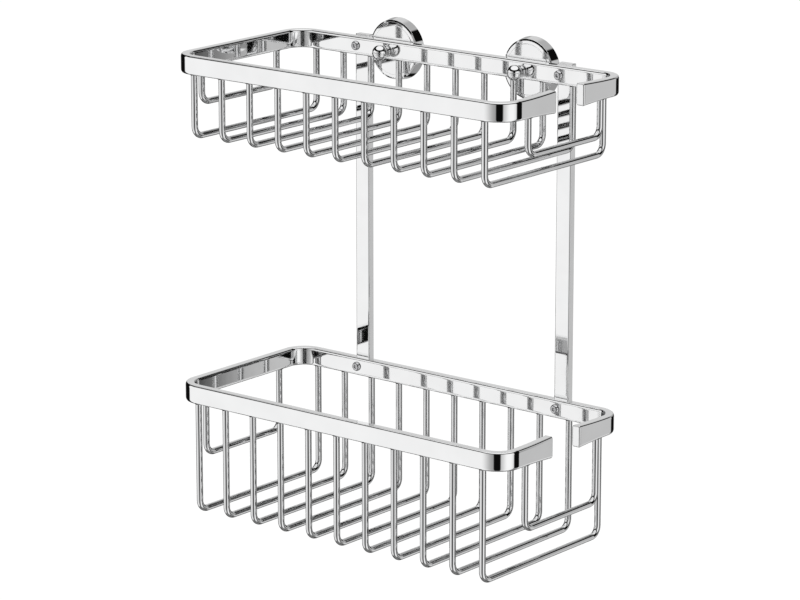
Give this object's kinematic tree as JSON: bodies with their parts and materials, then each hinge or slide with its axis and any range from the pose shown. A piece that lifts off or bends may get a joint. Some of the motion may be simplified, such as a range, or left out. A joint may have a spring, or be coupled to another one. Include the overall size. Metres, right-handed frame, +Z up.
{
  "type": "shower caddy",
  "caption": "Two-tier chrome wire shower caddy: open-ended bar rims with U-wire baskets on two flat uprights, hung from round wall roses with ball-headed clamp knobs.",
  "frame": {"origin": "centre of the left wall plate's back face, on the wall plane; left and right are as seen from the room", "axes": "+X to the right along the wall, +Y into the wall, +Z up; the baskets hang on the -Y side"},
  "size_m": [0.3227, 0.1625, 0.3814],
  "materials": {
    "bar_chrome": "polished chrome plate on flat bar",
    "wire_chrome": "bright chrome plate on drawn wire",
    "rose_chrome": "mirror chrome on spun brass",
    "knob_chrome": "mirror chrome on turned brass",
    "screw_steel": "polished stainless steel",
    "plate_zinc": "dull zinc-plated steel"
  },
  "bodies": {
    "caddy": {"upper_rim": "bar_chrome", "lower_rim": "bar_chrome", "upper_wire_01": "wire_chrome", "upper_wire_02": "wire_chrome", "upper_wire_03": "wire_chrome", "upper_wire_04": "wire_chrome", "upper_wire_05": "wire_chrome", "upper_wire_06": "wire_chrome", "upper_wire_07": "wire_chrome", "upper_wire_08": "wire_chrome", "upper_wire_09": "wire_chrome", "upper_wire_10": "wire_chrome", "upper_wire_11": "wire_chrome", "lower_wire_01": "wire_chrome", "lower_wire_02": "wire_chrome", "lower_wire_03": "wire_chrome", "lower_wire_04": "wire_chrome", "lower_wire_05": "wire_chrome", "lower_wire_06": "wire_chrome", "lower_wire_07": "wire_chrome", "lower_wire_08": "wire_chrome", "lower_wire_09": "wire_chrome", "lower_wire_10": "wire_chrome", "lower_wire_11": "wire_chrome", "upper_end_wire_left": "wire_chrome", "upper_end_wire_right": "wire_chrome", "lower_end_wire_left": "wire_chrome", "lower_end_wire_right": "wire_chrome", "upright_left": "bar_chrome", "upright_right": "bar_chrome", "upper_screw_left": "screw_steel", "upper_screw_right": "screw_steel", "lower_screw_left": "screw_steel", "lower_screw_right": "screw_steel", "wall_plate_left": "plate_zinc", "wall_plate_right": "plate_zinc", "rose_left": "rose_chrome", "rose_right": "rose_chrome"},
    "collar_left": {"knob_collar_left": "knob_chrome"},
    "collar_right": {"knob_collar_right": "knob_chrome"},
    "knob_left": {"ball_knob_left": "knob_chrome"},
    "knob_right": {"ball_knob_right": "knob_chrome"}
  },
  "joints": [
    {"name": "left_collar_travel", "type": "slide", "parent": "caddy", "child": "collar_left", "axis": [0, -1, 0], "range_m": [0, 0.006]},
    {"name": "left_knob_turn", "type": "hinge", "parent": "collar_left", "child": "knob_left", "pos_m": [0, -0.02565, 0], "axis": [0, -1, 0], "range_deg": [0, 2700]},
    {"name": "right_collar_travel", "type": "slide", "parent": "caddy", "child": "collar_right", "axis": [0, -1, 0], "range_m": [0, 0.006]},
    {"name": "right_knob_turn", "type": "hinge", "parent": "collar_right", "child": "knob_right", "pos_m": [0.1314, -0.02565, 0], "axis": [0, -1, 0], "range_deg": [0, 2700]}
  ],
  "couplings": [
    {"joint": "left_collar_travel", "follows": "left_knob_turn", "m_per_rad": 0.00012732},
    {"joint": "right_collar_travel", "follows": "right_knob_turn", "m_per_rad": 0.00012732}
  ]
}
